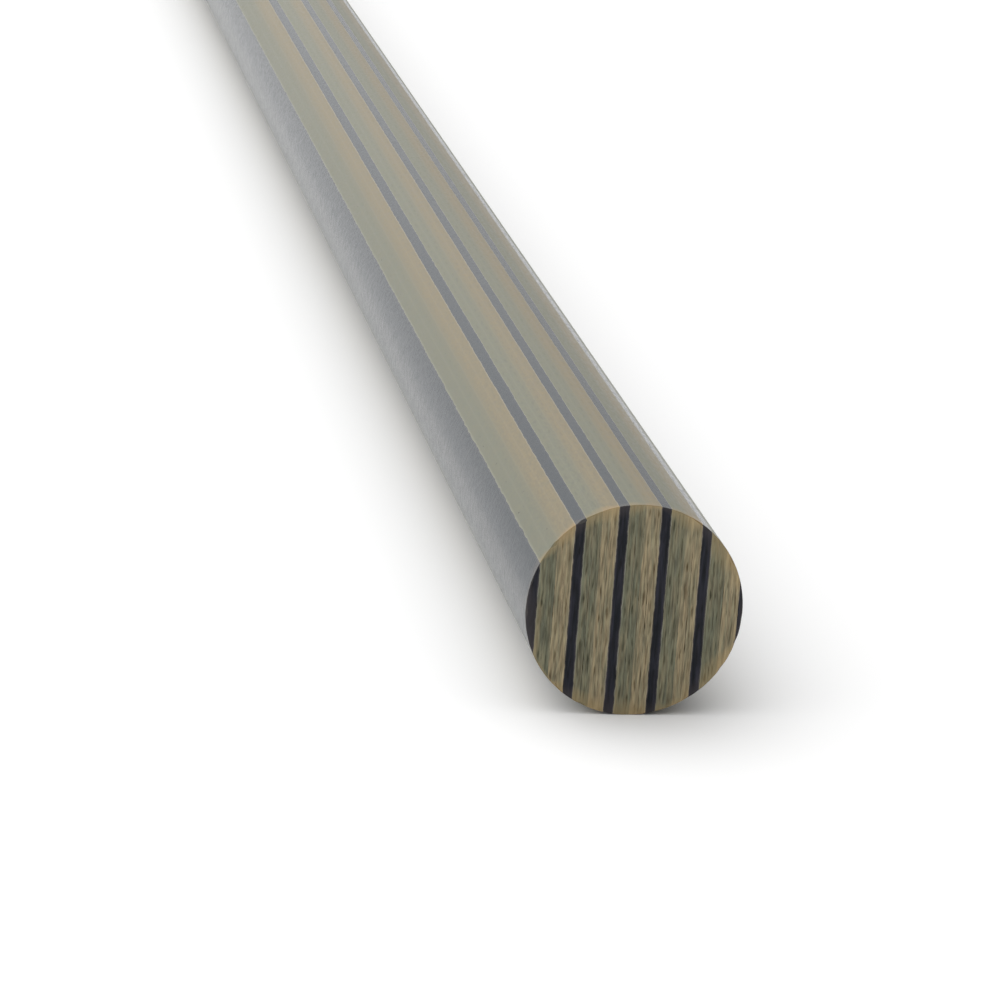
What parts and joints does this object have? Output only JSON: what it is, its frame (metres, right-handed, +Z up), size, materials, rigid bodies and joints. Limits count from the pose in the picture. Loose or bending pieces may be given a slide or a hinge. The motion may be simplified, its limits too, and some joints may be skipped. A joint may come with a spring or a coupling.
{
  "type": "laminated round rod",
  "caption": "Straight round rod ground from a pressed stack of black, olive and tan woven glass and epoxy plies, with square sawn ends.",
  "frame": {"origin": "the middle of the rod's axis, halfway between its two cut ends", "axes": "+Y along the rod's axis, +X across the plies, from one to the next, and +Z up, in the plane of the plies"},
  "size_m": [0.0064, 0.1524, 0.0064],
  "materials": {
    "black_glass_epoxy": "black woven glass and epoxy, satin where it is ground, dull where it is sawn",
    "olive_glass_epoxy": "olive woven glass and epoxy, satin where it is ground, dull where it is sawn",
    "tan_glass_epoxy": "tan woven glass and epoxy, satin where it is ground, dull where it is sawn"
  },
  "bodies": {
    "root": {"black_ply_1": "black_glass_epoxy", "black_ply_2": "black_glass_epoxy", "black_ply_3": "black_glass_epoxy", "black_ply_4": "black_glass_epoxy", "black_ply_5": "black_glass_epoxy", "black_ply_6": "black_glass_epoxy", "olive_ply_1": "olive_glass_epoxy", "olive_ply_2": "olive_glass_epoxy", "olive_ply_3": "olive_glass_epoxy", "olive_ply_4": "olive_glass_epoxy", "olive_ply_5": "olive_glass_epoxy", "olive_ply_6": "olive_glass_epoxy", "olive_ply_7": "olive_glass_epoxy", "olive_ply_8": "olive_glass_epoxy", "olive_ply_9": "olive_glass_epoxy", "olive_ply_10": "olive_glass_epoxy", "tan_ply_1": "tan_glass_epoxy", "tan_ply_2": "tan_glass_epoxy", "tan_ply_3": "tan_glass_epoxy", "tan_ply_4": "tan_glass_epoxy", "tan_ply_5": "tan_glass_epoxy", "tan_ply_6": "tan_glass_epoxy", "tan_ply_7": "tan_glass_epoxy", "tan_ply_8": "tan_glass_epoxy", "tan_ply_9": "tan_glass_epoxy", "tan_ply_10": "tan_glass_epoxy"}
  },
  "joints": []
}
